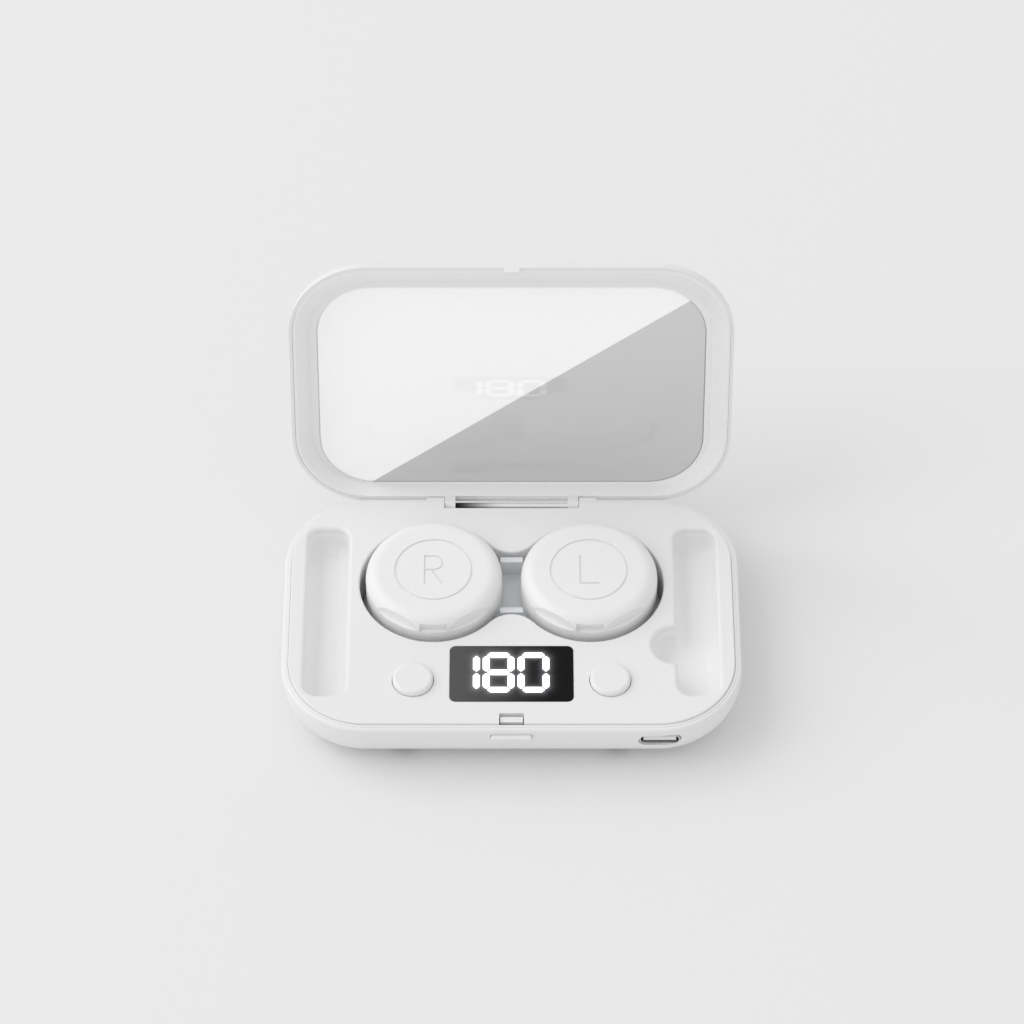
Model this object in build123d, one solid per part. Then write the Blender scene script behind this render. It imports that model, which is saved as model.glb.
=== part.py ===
from build123d import *
import math
import os

# ---------------------------------------------------------------------------------------------
# Contact lens cleaning case: a shallow base with a vibrating lens bath, a removable twin lens
# case with screw caps, two tool troughs, a display with two buttons, and a mirror lid on a pin.
# Millimetres. X to the user's right, Y away from the user, Z up.
# Origin: centre of the base's footprint, on the table, at the underside of the non-slip pad.
# ---------------------------------------------------------------------------------------------

# Base, overall
BASE_W = 100.0            # width over the rim
BASE_D = 65.0             # depth over the rim
BASE_R = 18.6             # corner radius in plan
PAD_T = 0.6               # non-slip pad thickness
DECK_Z = 14.4             # top of the deck above the table
RIM_DROP = 0.5            # the base's rim stands this much below the deck
UNDER_R = 10.0            # rounded underside
PAD_W = BASE_W - 2 * UNDER_R - 2.0
PAD_D = BASE_D - 2 * UNDER_R - 1.0
PAD_R = UNDER_R + 1.0
PAD_EDGE = 0.15
SHOULDER_R = 0.7          # rounded upper edge of the rim
STEP_IN = 0.85            # the rim's outer part is lower than its inner part
STEP_H = 0.2
STEP_EDGE_R = 0.15
WALL = 1.8                # base shell wall
RIM_T = 1.4               # rim wall beside the deck
DECK_T = 1.6              # deck panel thickness
DECK_GAP = 0.07           # seam between deck and rim
EDGE_R = 0.3              # small broken edges
FRONT_Y = -BASE_D / 2     # outer face of the front wall
BACK_Y = BASE_D / 2
TROUGH_EDGE_R = 0.9       # soft edge where the deck runs into a trough
BATH_EDGE_R = 0.45        # soft edge round the lens bath

# Lens bath (two round bays joined by a waist)
CAP_R = 15.0              # screw cap that stands in each bay
BAY_PITCH = 2 * CAP_R + 4.1
BAY_R = CAP_R + 1.4
BAY_Y = BACK_Y - 24.7     # the bays lie behind the middle of the base
WAIST_HALF = 8.7
BATH_Z = 3.9              # top of the vibrating plate
PLATE_T = 0.5
PLATE_GAP = 0.1           # plate inside the bath wall
BATH_WALL = 1.0
PIEZO_R = CAP_R - 6.0
PIEZO_T = 0.45
PIEZO_HOLE_GAP = 0.6

# Tool troughs
TROUGH_W = 9.0
TROUGH_L = BASE_D - 18.5
TROUGH_X = BASE_W / 2 - 9.5
TROUGH_R = 3.0            # corner radius in plan
TROUGH_DEPTH = 7.0
TROUGH_BOTTOM_R = 2.9     # concave run from side to floor
TRAY_WALL = 0.9
FINGER_R = 5.2
FINGER_X = TROUGH_X - 4.7
FINGER_Y = -9.4

# Display and buttons
WINDOW_W = 26.7
WINDOW_D = 15.1
WINDOW_R = 1.3
WINDOW_Y = FRONT_Y + 14.9
WINDOW_T = 1.0
WINDOW_GAP = 0.1
WINDOW_PROUD = 0.15
WINDOW_EDGE_R = 0.15
LEDGE = 1.0               # shelf that carries the window
DIGIT_W = 6.9
DIGIT_H = 11.3
SEG_T = 1.55              # width of one bar of a digit
SEG_GAP = 0.2
DIGIT_PITCH = 7.5
DIGIT_THICK = 0.2
TENS_X = -2.75            # centre of the middle digit
MODULE_W = 25.0
MODULE_D = 13.8
MODULE_R = 0.5
BUTTON_X = 21.35
BUTTON_Y = FRONT_Y + 13.1
BUTTON_R = 4.4
BUTTON_TRAVEL = 0.5
BUTTON_PROUD = BUTTON_TRAVEL + 0.75  # still proud when pressed
BUTTON_EDGE_R = 0.8
BUTTON_GAP = 0.15
BUTTON_FLANGE = 0.5       # flange reaches this much further than the cap
BUTTON_FLANGE_T = 0.8
BUTTON_REST_GAP = 0.1     # flange below the deck at rest
DOME_R = 2.6
DOME_T = 0.35             # rubber dome wall

# Electronics
PORT_X = BASE_W / 2 - 18.1  # charging port, beside the right front corner
BOARD_Z = DECK_Z - 7.2
BOARD_T = 1.2
BOARD_X0 = 17.0 - BASE_W / 2
BOARD_X1 = PORT_X - 3.6
BOARD_Y0 = FRONT_Y + 3.9
BOARD_Y1 = FRONT_Y + 22.1
SWITCH_W = 6.0
SWITCH_H = 2.4
SWITCH_EDGE_R = 0.4
SWITCH_LEG_L = 1.2
SWITCH_LEG_W = 0.7
SWITCH_LEG_T = 0.3
BOARD_TAB_D = 3.0         # tab under the port
LATCH_ROOM = 2.2          # cut in the board's front edge for the latch
CHIPS = ((1.5, 4.1, 4.0, 4.0, 1.0), (1.5, 11.1, 3.0, 4.5, 1.6))  # x, y, width, depth, height
COIL_W = 3.0
COIL_H = 2.4
CELL_W = 38.0
CELL_D = 13.0
CELL_T = 3.3
CELL_R = 1.2
CELL_EDGE_R = 0.5
CELL_Y = FRONT_Y + 14.5
FOAM_T = 0.4
FOAM_W = CELL_W - 6.0
FOAM_D = CELL_D - 4.5
FOAM_R = 1.0
PORT_W = 8.94
PORT_H = 3.2
PORT_L = 7.0
PORT_WALL = 0.35
PORT_GAP = 0.15
PORT_RECESS = 0.5         # mouth of the port behind the outer wall
TONGUE_W = 7.0
TONGUE_T = 1.3
TONGUE_BACK = 0.3         # tongue's tip behind the mouth

# Screws and posts
POST_R = 2.1
POST_FOOT_R = 3.1         # stub moulded into the base, wide enough for the screw head
SCREW_R = 1.0
SCREW_HEAD_R = 1.9
SCREW_HEAD_T = 1.2
SCREW_DRIVE_R = 0.8
SCREW_L = 5.0
SCREW_HEAD_EDGE_R = 0.4
SCREW_DRIVE_W = 0.4       # width of the cross slots
SCREW_DRIVE_H = 0.5       # metal left above the cross slots
SCREW_GAP = 0.2           # clearance round the thread and the head
PILOT_L = SCREW_L - 0.6   # bore in the deck's post
POST_ROOT = 0.6           # how far a post runs into the floor
POST_SEAM = 0.1           # between the deck's post and the base's
BOARD_POST_GAP = 0.4
POST_REAR_X = BASE_W / 2 - 19.0
POST_REAR_Y = BACK_Y - 6.9
POST_FRONT_X = 23.0
POST_FRONT_Y = FRONT_Y + 6.15
POST_FLOOR_Z = 4.7        # top of the post moulded into the base
SEAT_Z = 3.7              # underside of the seat that the screw head pulls on

# Hinge
PIN_R = 0.75
PIN_Y = BACK_Y - 1.3
PIN_Z = DECK_Z - 1.8
PIN_HALF = 18.4
PIN_EDGE = 0.15
NOTCH_HALF = 15.0
NOTCH_Y = BACK_Y - 3.4
BOSS_IN = 15.1
BOSS_OUT = 18.9
BOSS_R = 1.9
BOSS_DROP = 5.5           # the boss runs down into the back wall
EAR_IN = 12.55
EAR_OUT = 14.9
EAR_R = 1.6
EAR_ROOM = 0.35           # notch floor below the swinging ears
EAR_RUN = 0.04            # running clearance round the pin
PIN_FIT = 0.0             # the pin is pressed into the bosses
LID_OPEN = 104.0          # degrees from closed to rest

# Lid
LID_INSET = 1.4           # the lid's wall stands on the deck's edge line
LID_H = 7.3
LID_WALL = 0.6            # upright part of the wall at the rim
LID_ROUND_FRONT = 11.0    # how far the back of the lid curves in at the free side
LID_ROUND_SIDE = 7.0
LID_ROUND_HINGE = 2.2
LINER_ROUND_HINGE = 1.0   # the glass comes close to the hinge side, so less curve inside
LID_SECTIONS = 6
SKIN_RIM = 0.7            # outer skin at the rim
SKIN_TOP = 0.9
LINER_GAP = 0.05
LINER_STEP = 0.15         # liner edge set back from the skin's edge
LIP = 1.25                # both edges together
CAVITY_H = 4.7            # rim plane to the mirror's face
FLOOR_W = BASE_W - 11.4
FLOOR_BACK = 1.6          # hinge side edge of the cavity floor
FLOOR_FRONT = 6.9         # free side edge of the cavity floor
FLOOR_R = 13.4
MIRROR_W = BASE_W - 14.7
MIRROR_D = BASE_D - 13.0
MIRROR_R = 12.0
MIRROR_BACK = 1.95        # hinge side margin of the glass
MIRROR_T = 0.9
MIRROR_EDGE = 0.2
MIRROR_GAP = 0.12
TAPE_T = 0.15
TAPE_INSET = 3.0
LINER_T = 0.6
CLOSED_GAP = 0.05         # closed lid above the deck

# Latch
LATCH_W = 8.8
LATCH_H = 1.3
LATCH_R = 0.55            # corner radius of the pad
LATCH_Z = DECK_Z - 2.85
LATCH_TRAVEL = 0.6
LATCH_PROUD = LATCH_TRAVEL + 0.4  # still proud when pushed
LATCH_GAP = 0.12
LATCH_EDGE_R = 0.35
CATCH_W = 4.9
CATCH_DROP = 0.45         # catch top below the deck
SLOT_W = 5.3
SLOT_Y = FRONT_Y + 4.2
CATCH_BACK = FRONT_Y + 3.5
CATCH_FRONT = FRONT_Y + 2.45
NOSE = 0.35
TAIL_L = 0.9              # tail that closes the slot behind the catch
TAIL_T = 0.3
HOOK_W = 3.4
HOOK_T = 0.55
HOOK_DROP = 1.75
HOOK_BARB = 0.35
HOOK_BARB_T = 0.45
LATCH_SPRING_R = 1.0
SPRING_WIRE = 0.25
SPRING_ROOM = 2.1         # board's front edge to the rib behind the spring
SPRING_WALL_W = 6.0
SPRING_WALL_T = 1.2

# Lens case
CAP_TOP = DECK_Z + 4.5
CAP_SKIRT_Z = CAP_TOP - 9.0
CAP_SHOULDER_R = 3.1
CAP_FOOT_R = 0.4
CAP_BORE_R = CAP_R - 2.0
CAP_ROOF = 1.35
CAP_BORE_TOP_R = 2.2
CAP_RING_R = CAP_R - 6.6
CAP_RING_W = 0.5
CAP_CUT = 0.3
CAP_NOTCH_W = 5.9
CAP_NOTCH_DEPTH = 1.2
CAP_NOTCH_H = 2.0
CAP_NOTCH_DROP = 3.3      # sill of a grip notch below the cap's top
CAP_FACET_W = 10.1        # flat grip facet beside each notch
CAP_FACET_DEPTH = 1.0
CAP_FACET_TURN = 33.5
LETTER_H = 8.0
LETTER_W = 3.9
LETTER_T = 0.4
NECK_R = CAP_BORE_R - 1.1
NECK_TOP = CAP_TOP - 2.3
WELL_R = NECK_R - 1.2
WELL_FLOOR = 5.3
BODY_R = CAP_R - 1.0
BODY_Z = CAP_SKIRT_Z - 0.6  # shoulder below the caps
BODY_LIFT = 0.05
BODY_FOOT_R = 3.0
BOWL_R = 5.0
BRIDGE_HALF = 7.8
BRIDGE_T = 1.4
BRIDGE_RIM = 1.4
BRIDGE_TOP = DECK_Z - 0.8
BRIDGE_STRIP = 2.5        # half length of the raised strips, clear of both caps
SEAL_R = NECK_R + 0.5
SEAL_GAP = 0.02
THREAD_PITCH = 3.0
THREAD_TURNS = 1.5
THREAD_DEPTH = 0.75
THREAD_ROOT = 1.1
THREAD_START = BODY_Z + 1.1

# ---------------------------------------------------------------------------------------------
# Derived planes
# ---------------------------------------------------------------------------------------------
BASE_BOTTOM = PAD_T
RIM_Z = DECK_Z - RIM_DROP
DECK_UNDER = DECK_Z - DECK_T
FLOOR_Z = BASE_BOTTOM + WALL
BOARD_TOP = BOARD_Z + BOARD_T
LID_W = BASE_W - 2 * LID_INSET
LID_D = BASE_D - 2 * LID_INSET
LID_R = BASE_R - LID_INSET
RIM_PLANE = DECK_Z + CLOSED_GAP
HALF_PITCH = BAY_PITCH / 2


def plate(w, d, r, z0, z1, x=0.0, y=0.0):
    """Rounded rectangle from z0 to z1."""
    return Pos(x, y, z0) * extrude(RectangleRounded(w, d, r), z1 - z0)


def block(x0, x1, y0, y1, z0, z1):
    """Plain box from its two corners."""
    return Pos((x0 + x1) / 2, (y0 + y1) / 2, (z0 + z1) / 2) * Box(x1 - x0, y1 - y0, z1 - z0)


def post(r, z0, z1, x=0.0, y=0.0):
    """Upright cylinder from z0 to z1."""
    return Pos(x, y, (z0 + z1) / 2) * Cylinder(r, z1 - z0)


def rod(r, x0, x1, y, z):
    """Cylinder along X."""
    return Pos((x0 + x1) / 2, y, z) * Rot(0, 90, 0) * Cylinder(r, x1 - x0)


def bottom_edges(solid):
    return solid.edges().group_by(Axis.Z)[0]


def top_edges(solid):
    return solid.edges().group_by(Axis.Z)[-1]


def bath_outline(offset):
    """Two round bays and the waist between them, grown by an offset."""
    r = BAY_R + offset
    half = WAIST_HALF + offset
    tip_r = (HALF_PITCH ** 2 + half ** 2 - r ** 2) / (2 * (r - half))
    tip_y = half + tip_r
    reach = tip_r / (r + tip_r)
    touch_x = HALF_PITCH * reach
    touch_y = tip_y * (1 - reach)
    waist = Rectangle(2 * touch_x + 1.0, 2 * touch_y)
    waist -= Pos(0, tip_y) * Circle(tip_r)
    waist -= Pos(0, -tip_y) * Circle(tip_r)
    shape = waist + Pos(-HALF_PITCH, 0) * Circle(r) + Pos(HALF_PITCH, 0) * Circle(r)
    return Pos(0, BAY_Y) * shape


def bath(offset, z0, z1):
    return Pos(0, 0, z0) * extrude(bath_outline(offset), z1 - z0)


def trough_cavity(side, offset, floor_z, top_z):
    """Space of one trough, grown by an offset; the right one has a finger scoop."""
    w = TROUGH_W + 2 * offset
    space = plate(w, TROUGH_L + 2 * offset, TROUGH_R + offset, floor_z, top_z, side * TROUGH_X)
    if side > 0:
        space += post(FINGER_R + offset, floor_z, top_z, FINGER_X, FINGER_Y)
    return fillet(bottom_edges(space), TROUGH_BOTTOM_R)


def post_spots():
    """Screw positions: two at the back, two at the front."""
    rear = [(side * POST_REAR_X, POST_REAR_Y) for side in (-1, 1)]
    front = [(side * POST_FRONT_X, POST_FRONT_Y) for side in (-1, 1)]
    return rear + front


def port_prism(grow, y0, y1):
    """Stadium section of the charging port along Y."""
    w = PORT_W + 2 * grow
    h = PORT_H + 2 * grow
    section = Plane.XZ.offset(-y0) * RectangleRounded(w, h, h / 2 - 0.01)
    return Pos(PORT_X, 0, BOARD_TOP + PORT_H / 2) * extrude(section, -(y1 - y0))


def latch_opening(grow, y0, y1):
    section = Plane.XZ.offset(-y0) * RectangleRounded(LATCH_W + 2 * grow, LATCH_H + 2 * grow, LATCH_R)
    return Pos(0, 0, LATCH_Z) * extrude(section, -(y1 - y0))


def top_edges_inside(deck, x):
    """Edges of the opening through the deck's top face that surrounds x."""
    face = deck.faces().filter_by(Axis.Z).sort_by(Axis.Z)[-1]
    around = [w for w in face.inner_wires() if w.bounding_box().min.X < x < w.bounding_box().max.X]
    return around[0].edges()


# ---------------------------------------------------------------------------------------------
# Base
# ---------------------------------------------------------------------------------------------
def base_shell():
    """Tub with a rounded underside, a rim round the deck, hinge bosses and screw posts."""
    outer = plate(BASE_W, BASE_D, BASE_R, BASE_BOTTOM, RIM_Z - STEP_H)
    outer = fillet(bottom_edges(outer), UNDER_R)
    outer = fillet(top_edges(outer), SHOULDER_R)
    bead = plate(BASE_W - 2 * STEP_IN, BASE_D - 2 * STEP_IN, BASE_R - STEP_IN, DECK_UNDER, RIM_Z)
    outer += fillet(top_edges(bead), STEP_EDGE_R)
    inner = plate(BASE_W - 2 * WALL, BASE_D - 2 * WALL, BASE_R - WALL, FLOOR_Z, RIM_Z + 1)
    inner = fillet(bottom_edges(inner), UNDER_R - WALL)
    bosses = Part()
    for side in (-1, 1):
        a, b = sorted((side * BOSS_IN, side * BOSS_OUT))
        boss = rod(BOSS_R, a, b, PIN_Y, PIN_Z)
        boss += block(a, b, PIN_Y - BOSS_R, PIN_Y + BOSS_R, PIN_Z - BOSS_DROP, PIN_Z)
        bosses += boss
    shell = outer - inner
    shell += bosses & plate(BASE_W, BASE_D, BASE_R, BASE_BOTTOM, RIM_Z)
    for x, y in post_spots():
        shell += post(POST_FOOT_R, FLOOR_Z - POST_ROOT, POST_FLOOR_Z, x, y) & outer
    seat = BASE_W - 2 * RIM_T
    shell -= plate(seat, BASE_D - 2 * RIM_T, BASE_R - RIM_T, DECK_UNDER, RIM_Z + 1)
    shell -= block(-NOTCH_HALF, NOTCH_HALF, NOTCH_Y, BASE_D, PIN_Z - EAR_R - EAR_ROOM,
                   RIM_Z + 1)
    shell -= rod(PIN_R + PIN_FIT, -PIN_HALF, PIN_HALF, PIN_Y, PIN_Z)
    shell -= port_prism(PORT_GAP, FRONT_Y - 1, FRONT_Y + 4)
    shell -= latch_opening(LATCH_GAP, FRONT_Y - 1, FRONT_Y + 3)
    shell -= block(-SLOT_W / 2, SLOT_W / 2, FRONT_Y + RIM_T - 0.05, SLOT_Y, LATCH_Z, RIM_Z + 1)
    for x, y in post_spots():
        shell -= post(SCREW_R + SCREW_GAP, BASE_BOTTOM - 1, POST_FLOOR_Z + 1, x, y)
        shell -= post(SCREW_HEAD_R + SCREW_GAP, BASE_BOTTOM - 1, SEAT_Z, x, y)
    return shell


def deck_panel():
    """Top plate with openings for bath, troughs, display, buttons, hinge and latch."""
    shrink = 2 * (RIM_T + DECK_GAP)
    deck = plate(BASE_W - shrink, BASE_D - shrink, BASE_R - shrink / 2, DECK_UNDER, DECK_Z)
    deck = fillet(top_edges(deck), EDGE_R)
    for x, y in post_spots():
        deck += post(POST_R, POST_FLOOR_Z + POST_SEAM, DECK_UNDER, x, y)
        deck -= post(SCREW_R, POST_FLOOR_Z - 1, POST_FLOOR_Z + PILOT_L, x, y)
    deck -= bath(0, DECK_UNDER - 1, DECK_Z + 1)
    deck = fillet(top_edges_inside(deck, 0), BATH_EDGE_R)
    for side in (-1, 1):
        deck -= plate(TROUGH_W, TROUGH_L, TROUGH_R, DECK_UNDER - 1, DECK_Z + 1, side * TROUGH_X)
    deck -= post(FINGER_R, DECK_UNDER - 1, DECK_Z + 1, FINGER_X, FINGER_Y)
    for side in (-1, 1):
        deck = fillet(top_edges_inside(deck, side * TROUGH_X), TROUGH_EDGE_R)
    for side in (-1, 1):
        deck -= post(BUTTON_R + BUTTON_GAP, DECK_UNDER - 1, DECK_Z + 1, side * BUTTON_X, BUTTON_Y)
    window_z = DECK_Z + WINDOW_PROUD - WINDOW_T
    deck -= plate(WINDOW_W + 2 * WINDOW_GAP, WINDOW_D + 2 * WINDOW_GAP, WINDOW_R + WINDOW_GAP,
                  window_z, DECK_Z + 1, 0, WINDOW_Y)
    deck -= plate(WINDOW_W - LEDGE, WINDOW_D - LEDGE, WINDOW_R, DECK_UNDER - 1, DECK_Z, 0, WINDOW_Y)
    deck -= block(-NOTCH_HALF, NOTCH_HALF, NOTCH_Y, BASE_D, DECK_UNDER - 1, DECK_Z + 1)
    deck -= block(-SLOT_W / 2, SLOT_W / 2, -BASE_D, SLOT_Y, DECK_UNDER - 1, DECK_Z + 1)
    deck -= rod(PIN_R + EAR_RUN, -PIN_HALF - EAR_RUN, PIN_HALF + EAR_RUN, PIN_Y, PIN_Z)
    return deck


def bath_tub():
    """Wall and floor of the lens bath, open above; holes in the floor for the piezo discs."""
    low = BATH_Z - PLATE_T - BATH_WALL / 2
    tub = bath(BATH_WALL, low, DECK_UNDER)
    tub -= bath(0, BATH_Z - PLATE_T, DECK_UNDER + 1)
    for side in (-1, 1):
        tub -= post(PIEZO_R + PIEZO_HOLE_GAP, low - 1, BATH_Z, side * HALF_PITCH, BAY_Y)
    return tub


def tray(side):
    """Trough moulding hung under the deck."""
    floor_z = DECK_Z - TROUGH_DEPTH
    body = trough_cavity(side, TRAY_WALL, floor_z - TRAY_WALL, DECK_UNDER)
    return body - trough_cavity(side, 0, floor_z, DECK_UNDER + 1)


def hinge_pin():
    pin = rod(PIN_R, -PIN_HALF, PIN_HALF, PIN_Y, PIN_Z)
    return chamfer(pin.edges(), PIN_EDGE)


def vibration_plate():
    return bath(-PLATE_GAP, BATH_Z - PLATE_T, BATH_Z)


def piezo(side):
    """Ceramic disc with a smaller silvered electrode step."""
    top = BATH_Z - PLATE_T
    return post(PIEZO_R, top - PIEZO_T, top, side * HALF_PITCH, BAY_Y)


def base_screw(x, y):
    head_z = SEAT_Z
    screw = post(SCREW_R - 0.05, head_z - 0.1, head_z + SCREW_L, x, y)
    head = post(SCREW_HEAD_R, head_z - SCREW_HEAD_T, head_z, x, y)
    head = fillet(bottom_edges(head), SCREW_HEAD_EDGE_R)
    half = SCREW_DRIVE_W / 2
    top = head_z - SCREW_DRIVE_H
    slot_a = block(x - SCREW_DRIVE_R, x + SCREW_DRIVE_R, y - half, y + half, 0, top)
    slot_b = block(x - half, x + half, y - SCREW_DRIVE_R, y + SCREW_DRIVE_R, 0, top)
    return screw + head - slot_a - slot_b


def base_pad():
    pad = plate(PAD_W, PAD_D, PAD_R, 0, PAD_T)
    return chamfer(bottom_edges(pad), PAD_EDGE)


# ---------------------------------------------------------------------------------------------
# Display, buttons, electronics
# ---------------------------------------------------------------------------------------------
def display_window():
    top = DECK_Z + WINDOW_PROUD
    pane = plate(WINDOW_W, WINDOW_D, WINDOW_R, top - WINDOW_T, top, 0, WINDOW_Y)
    return fillet(top_edges(pane), WINDOW_EDGE_R)


def bar(length, x, y, upright):
    """One bar of a digit: a hexagon with pointed ends."""
    half = length / 2
    side = SEG_T / 2
    points = [(-half, 0), (-half + side, side), (half - side, side), (half, 0),
              (half - side, -side), (-half + side, -side)]
    face = make_face(Polyline(*points, close=True))
    return Pos(x, y) * Rot(0, 0, 90 if upright else 0) * face


def digit_bars(x, y, lit):
    """Lit bars of one digit; names are compass points plus m for the middle bar."""
    dx = (DIGIT_W - SEG_T) / 2
    dy = (DIGIT_H - SEG_T) / 2
    across = 2 * dx - SEG_GAP
    up = dy - SEG_GAP
    places = {"n": (across, 0, dy, False), "m": (across, 0, 0, False), "s": (across, 0, -dy, False),
              "nw": (up, -dx, dy / 2, True), "ne": (up, dx, dy / 2, True),
              "sw": (up, -dx, -dy / 2, True), "se": (up, dx, -dy / 2, True)}
    faces = []
    for name in lit:
        length, px, py, upright = places[name]
        faces.append(bar(length, x + px, y + py, upright))
    return faces


def display_digits():
    """The lit bars: one, eight, zero."""
    base_z = DECK_Z + WINDOW_PROUD - WINDOW_T - DIGIT_THICK
    ones = digit_bars(TENS_X - DIGIT_PITCH, WINDOW_Y, ("ne", "se"))
    tens = digit_bars(TENS_X, WINDOW_Y, ("n", "ne", "se", "s", "sw", "nw", "m"))
    units = digit_bars(TENS_X + DIGIT_PITCH, WINDOW_Y, ("n", "ne", "se", "s", "sw", "nw"))
    solids = [extrude(Pos(0, 0, base_z) * face, DIGIT_THICK) for face in ones + tens + units]
    return Compound(children=solids)


def display_module():
    """Light guide block under the window, standing on the board."""
    top = DECK_Z + WINDOW_PROUD - WINDOW_T - DIGIT_THICK
    return plate(MODULE_W, MODULE_D, MODULE_R, BOARD_TOP, top, 0, WINDOW_Y)


def button(side):
    """Domed key cap with a retaining flange and a plunger foot."""
    x = side * BUTTON_X
    flange_top = DECK_UNDER - BUTTON_REST_GAP
    cap = post(BUTTON_R, flange_top - 0.1, DECK_Z + BUTTON_PROUD, x, BUTTON_Y)
    cap = fillet(top_edges(cap), BUTTON_EDGE_R)
    flange = post(BUTTON_R + BUTTON_FLANGE, flange_top - BUTTON_FLANGE_T, flange_top, x, BUTTON_Y)
    return cap + flange


def dome_pad(side):
    """Hollow rubber dome between the button and its switch."""
    x = side * BUTTON_X
    low = BOARD_TOP + SWITCH_H
    high = DECK_UNDER - BUTTON_REST_GAP - BUTTON_FLANGE_T
    wall = post(DOME_R, low, high, x, BUTTON_Y)
    return wall - post(DOME_R - DOME_T, low - 1, high - DOME_T, x, BUTTON_Y)


def switch(side):
    """Tactile switch body with four legs folded on the board."""
    x = side * BUTTON_X
    half = SWITCH_W / 2
    body = block(x - half, x + half, BUTTON_Y - half, BUTTON_Y + half, BOARD_TOP, BOARD_TOP + SWITCH_H)
    body = fillet(body.edges().filter_by(Axis.Z), SWITCH_EDGE_R)
    for dx in (-1, 1):
        for dy in (-1, 1):
            cx = x + dx * (half + SWITCH_LEG_L / 3)
            cy = BUTTON_Y + dy * (half - 1.0)
            body += block(cx - SWITCH_LEG_L / 2, cx + SWITCH_LEG_L / 2, cy - SWITCH_LEG_W / 2,
                          cy + SWITCH_LEG_W / 2, BOARD_TOP, BOARD_TOP + SWITCH_LEG_T)
    return body


def main_board():
    """Circuit board with a tab under the port and clearance round the screw posts."""
    board = block(BOARD_X0, BOARD_X1, BOARD_Y0, BOARD_Y1, BOARD_Z, BOARD_TOP)
    board += block(BOARD_X1 - 2, PORT_X + PORT_W / 2 + 0.5, BOARD_Y0, BOARD_Y0 + BOARD_TAB_D, BOARD_Z,
                   BOARD_TOP)
    half = LATCH_W / 2 + 0.8
    board -= block(-half, half, BOARD_Y0 - 1, BOARD_Y0 + LATCH_ROOM, BOARD_Z - 1, BOARD_TOP + 1)
    for x, y in post_spots():
        board -= post(POST_R + BOARD_POST_GAP, BOARD_Z - 1, BOARD_TOP + 1, x, y)
    board -= post(FINGER_R + TRAY_WALL + 0.3, BOARD_Z - 1, BOARD_TOP + 1, FINGER_X, FINGER_Y)
    return board


def board_chips():
    """Controller, driver, coil and a row of small parts on the board."""
    chips = []
    for x, y, w, d, h in CHIPS:
        x0 = BOARD_X0 + x
        y0 = BOARD_Y0 + y
        chips.append(block(x0, x0 + w, y0, y0 + d, BOARD_TOP, BOARD_TOP + h))
    coil_x = MODULE_W / 2 + 1.7
    coil_y = BOARD_Y0 + 13.1
    chips.append(block(coil_x, coil_x + COIL_W, coil_y, coil_y + COIL_W, BOARD_TOP, BOARD_TOP + COIL_H))
    for step in range(4):
        x = BOARD_X0 + 15.5 + 1.6 * step
        y = BOARD_Y0 + 2.4
        chips.append(block(x, x + 1.0, y, y + 0.8, BOARD_TOP, BOARD_TOP + 0.6))
    return Compound(children=chips)


def battery():
    low = FLOOR_Z + FOAM_T
    cell = plate(CELL_W, CELL_D, CELL_R, low, low + CELL_T, 0, CELL_Y)
    return fillet(top_edges(cell), CELL_EDGE_R)


def battery_foam():
    return plate(FOAM_W, FOAM_D, FOAM_R, FLOOR_Z, FLOOR_Z + FOAM_T, 0, CELL_Y)


def usb_port():
    """Folded steel shell of the charging port, closed at the back."""
    y0 = FRONT_Y + PORT_RECESS
    shell = port_prism(0, y0, y0 + PORT_L)
    return shell - port_prism(-PORT_WALL, y0 - 1, y0 + PORT_L - PORT_WALL)


def usb_tongue():
    """Contact tongue inside the port."""
    y1 = FRONT_Y + PORT_RECESS + PORT_L - PORT_WALL
    y0 = FRONT_Y + PORT_RECESS + TONGUE_BACK
    z = BOARD_TOP + PORT_H / 2
    half = TONGUE_W / 2
    return block(PORT_X - half, PORT_X + half, y0, y1, z - TONGUE_T / 2, z + TONGUE_T / 2)


# ---------------------------------------------------------------------------------------------
# Latch
# ---------------------------------------------------------------------------------------------
def latch_button():
    """Front push pad, neck and the catch that stands up through the deck's slot."""
    pad = latch_opening(0, FRONT_Y - LATCH_PROUD, FRONT_Y + WALL - 0.2)
    pad = fillet(pad.faces().sort_by(Axis.Y)[0].edges(), LATCH_EDGE_R)
    low = LATCH_Z - LATCH_H / 2
    half = CATCH_W / 2
    top = DECK_Z - CATCH_DROP
    stem = block(-half, half, FRONT_Y + 1.2, CATCH_BACK, low, LATCH_Z + 0.3)
    catch = block(-half, half, CATCH_FRONT, CATCH_BACK, low, top)
    nose = block(-half, half, CATCH_FRONT - NOSE, CATCH_BACK, top - 0.6, top)
    tail = block(-half, half, CATCH_BACK - 0.1, CATCH_BACK + TAIL_L, DECK_UNDER - 0.1 - TAIL_T,
                 DECK_UNDER - 0.1)
    return pad + stem + catch + nose + tail


def latch_spring():
    """Compression spring behind the catch."""
    y0 = CATCH_BACK
    y1 = BOARD_Y0 + SPRING_ROOM
    path = Helix(pitch=(y1 - y0 - 2 * SPRING_WIRE) / 3, height=y1 - y0 - 2 * SPRING_WIRE,
                 radius=LATCH_SPRING_R - SPRING_WIRE)
    start = Plane(origin=path @ 0, z_dir=path % 0)
    wire = sweep(start * Circle(SPRING_WIRE), path=path, is_frenet=True)
    return Pos(0, y0 + SPRING_WIRE, LATCH_Z - 0.2) * Rot(-90, 0, 0) * wire


def spring_wall():
    """Rib that the latch spring pushes against."""
    y0 = BOARD_Y0 + SPRING_ROOM
    half = SPRING_WALL_W / 2
    return block(-half, half, y0, y0 + SPRING_WALL_T, BOARD_TOP + 1.9, DECK_UNDER)


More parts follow.
